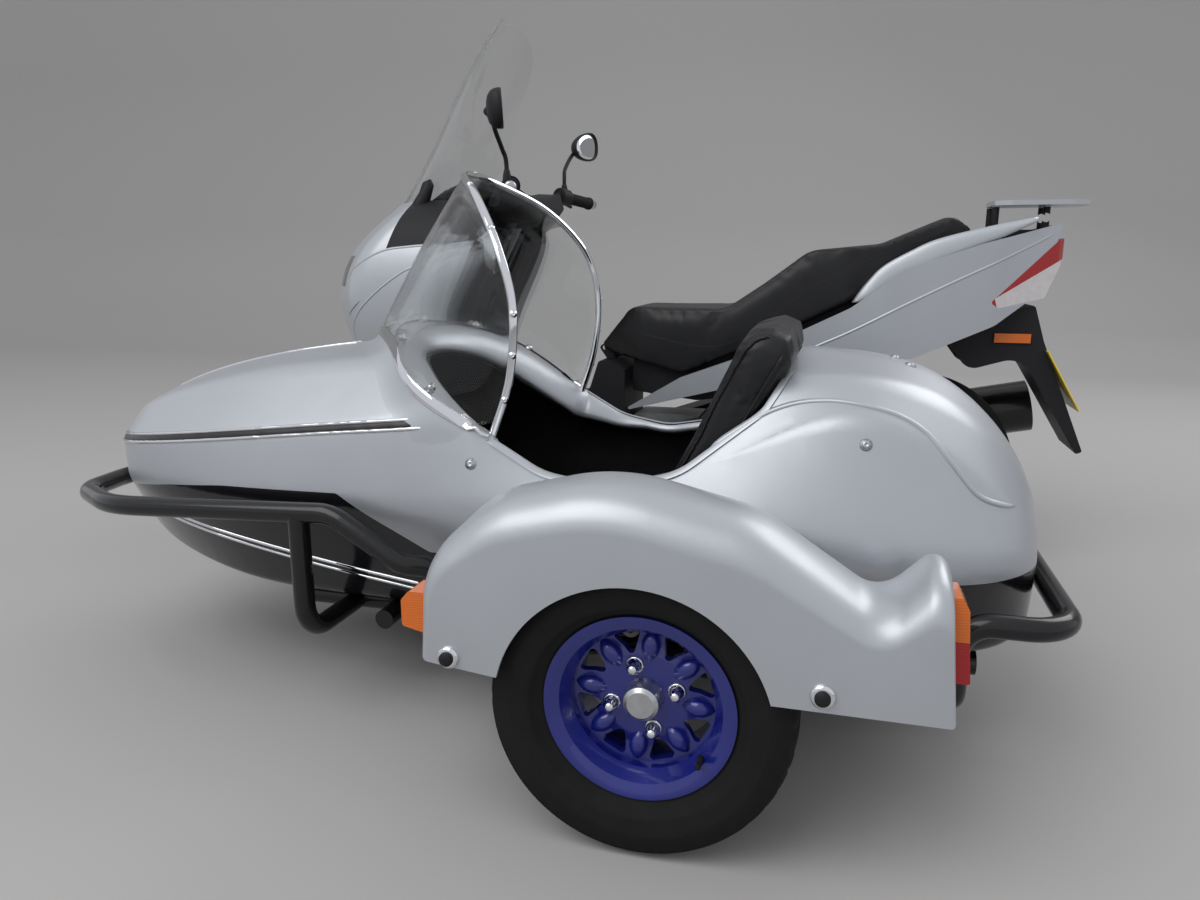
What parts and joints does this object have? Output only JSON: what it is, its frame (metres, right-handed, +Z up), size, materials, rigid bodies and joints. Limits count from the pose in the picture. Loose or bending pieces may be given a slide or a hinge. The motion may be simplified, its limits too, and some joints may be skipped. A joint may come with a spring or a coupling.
{
  "type": "sidecar motorcycle",
  "caption": "Touring scooter with a single-seat sidecar on its left side: moulded body with wrap-round screen and bumper tubes; wheels, steering, seat lid and backrest move.",
  "frame": {"origin": "on the floor under the middle of the outfit's bounding box", "axes": "+X towards the rear, +Y across from the sidecar to the scooter, +Z up"},
  "size_m": [2.2884, 1.9946, 1.525],
  "materials": {
    "silver_paint": "satin silver metallic paint",
    "black_shell": "gloss black moulding",
    "black_plastic": "black moulded plastic",
    "black_tube": "gloss black paint on steel tube",
    "tyre": "black rubber",
    "rubber": "black rubber",
    "blue_paint": "deep blue gloss paint",
    "cast_grey": "cast aluminium",
    "steel": "plated steel",
    "chrome": "bright chrome",
    "clear_sheet": "clear acrylic sheet",
    "vinyl": "black grained vinyl",
    "amber": "amber lens",
    "red": "red lens",
    "lamp_clear": "clear lamp lens",
    "plate": "bare yellow plate"
  },
  "bodies": {
    "machine": {"amber_lenses": "amber", "backrest_bar": "black_tube", "bumper_bars": "black_tube", "dampers": "steel", "engine_unit": "cast_grey", "fixing_arms": "black_tube", "floor_panels": "black_plastic", "front_fairing": "silver_paint", "grab_rails": "silver_paint", "headlamps": "lamp_clear", "inner_cowl": "black_plastic", "muffler": "black_tube", "number_plate": "plate", "rear_mudguard": "black_plastic", "rear_rack": "silver_paint", "red_lenses": "red", "scooter_frame": "black_tube", "scooter_windscreen": "clear_sheet", "screen_frame": "chrome", "side_panels": "silver_paint", "sidecar_body": "silver_paint", "sidecar_chassis": "black_tube", "sidecar_hull": "black_shell", "sidecar_mudguard": "silver_paint", "sidecar_seat": "vinyl", "sidecar_windscreen": "clear_sheet", "suspension_arm": "black_tube", "underseat_box": "black_plastic"},
    "front_wheel_set": {"front_tyre": "tyre", "front_wheel": "cast_grey", "front_brake_discs": "steel"},
    "rear_wheel_set": {"rear_tyre": "tyre", "rear_wheel": "cast_grey"},
    "sidecar_wheel_set": {"sidecar_tyre": "tyre", "sidecar_rim": "blue_paint", "sidecar_hub": "steel"},
    "steering": {"front_fork": "cast_grey", "brake_calipers": "cast_grey", "front_mudguard": "silver_paint", "handlebar": "steel", "handlebar_cover": "black_plastic", "hand_grips": "rubber", "mirrors": "black_plastic"},
    "seat_lid": {"scooter_seat": "vinyl"},
    "backrest": {"backrest": "vinyl"}
  },
  "joints": [
    {"name": "steering_turn", "type": "hinge", "parent": "machine", "child": "steering", "pos_m": [-0.61858, 0.53474, 0.64], "axis": [0.4695, 0, 0.8829], "range_deg": [-35, 35]},
    {"name": "front_wheel_spin", "type": "hinge", "parent": "steering", "child": "front_wheel_set", "pos_m": [-0.85887, 0.53474, 0.274], "axis": [0, 1, 0], "continuous": true},
    {"name": "rear_wheel_spin", "type": "hinge", "parent": "machine", "child": "rear_wheel_set", "pos_m": [0.72613, 0.53474, 0.27], "axis": [0, 1, 0], "continuous": true},
    {"name": "sidecar_wheel_spin", "type": "hinge", "parent": "machine", "child": "sidecar_wheel_set", "pos_m": [0.26013, -0.87926, 0.2245], "axis": [0, 1, 0], "continuous": true},
    {"name": "seat_lid_hinge", "type": "hinge", "parent": "machine", "child": "seat_lid", "pos_m": [-0.16987, 0.53474, 0.59], "axis": [0, -1, 0], "range_deg": [0, 60]},
    {"name": "backrest_hinge", "type": "hinge", "parent": "machine", "child": "backrest", "pos_m": [0.20613, -0.37626, 0.322], "axis": [0, -1, 0], "range_deg": [0, 40]}
  ]
}
